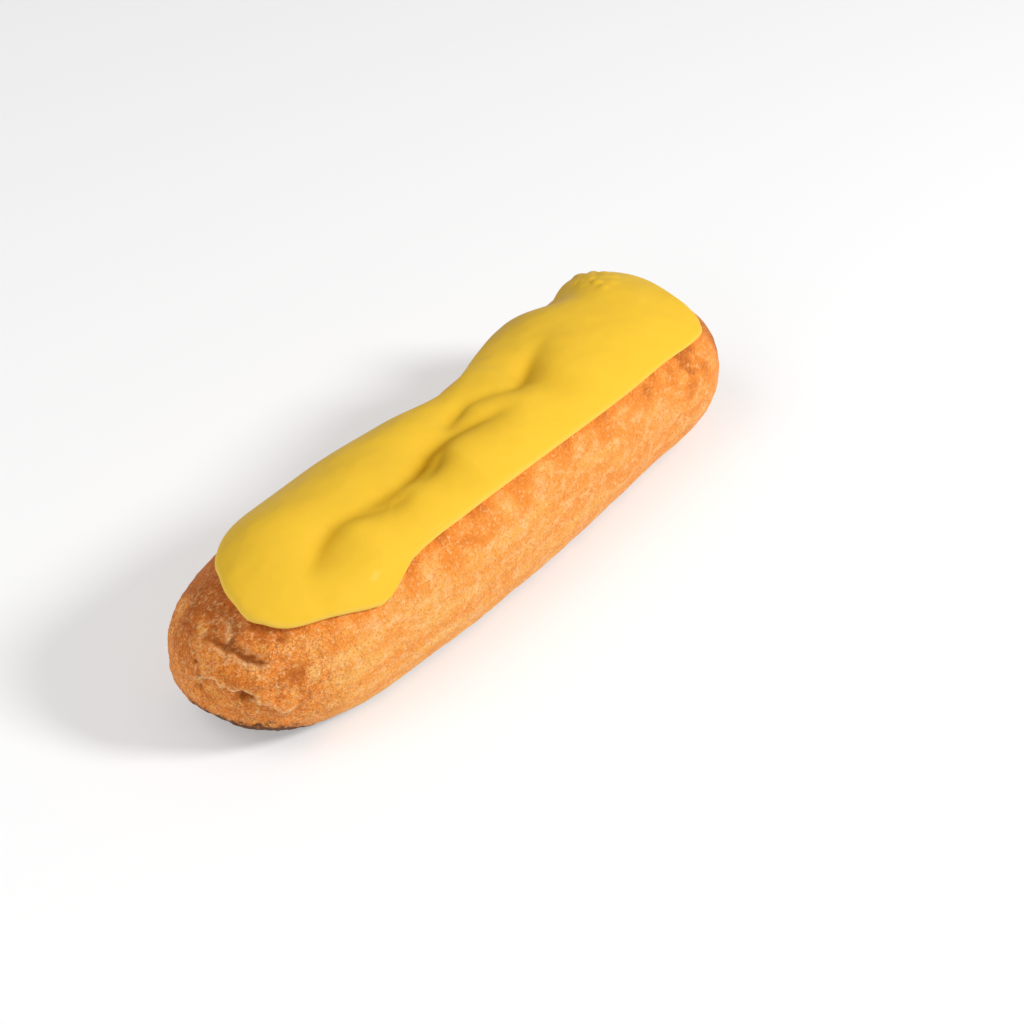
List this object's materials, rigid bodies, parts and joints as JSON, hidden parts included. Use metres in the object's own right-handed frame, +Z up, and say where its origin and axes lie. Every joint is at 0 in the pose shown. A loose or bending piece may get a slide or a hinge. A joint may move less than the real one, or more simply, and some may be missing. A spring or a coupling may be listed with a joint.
{
  "type": "eclair",
  "caption": "Whole eclair: a long baked choux finger with rounded ends and a skin of yellow icing along its top, resting on its flat base.",
  "frame": {"origin": "centre of the footprint, on the surface that the eclair rests on", "axes": "+X along the finger, towards its blunter and wider end, +Z up"},
  "size_m": [0.1404, 0.0407, 0.035],
  "materials": {
    "crust": "baked choux crust, golden to brown, fine pores, nearly matt",
    "icing": "set yellow icing, smooth, satin to glossy"
  },
  "bodies": {
    "root": {"choux_pastry": "crust", "icing": "icing"}
  },
  "joints": []
}
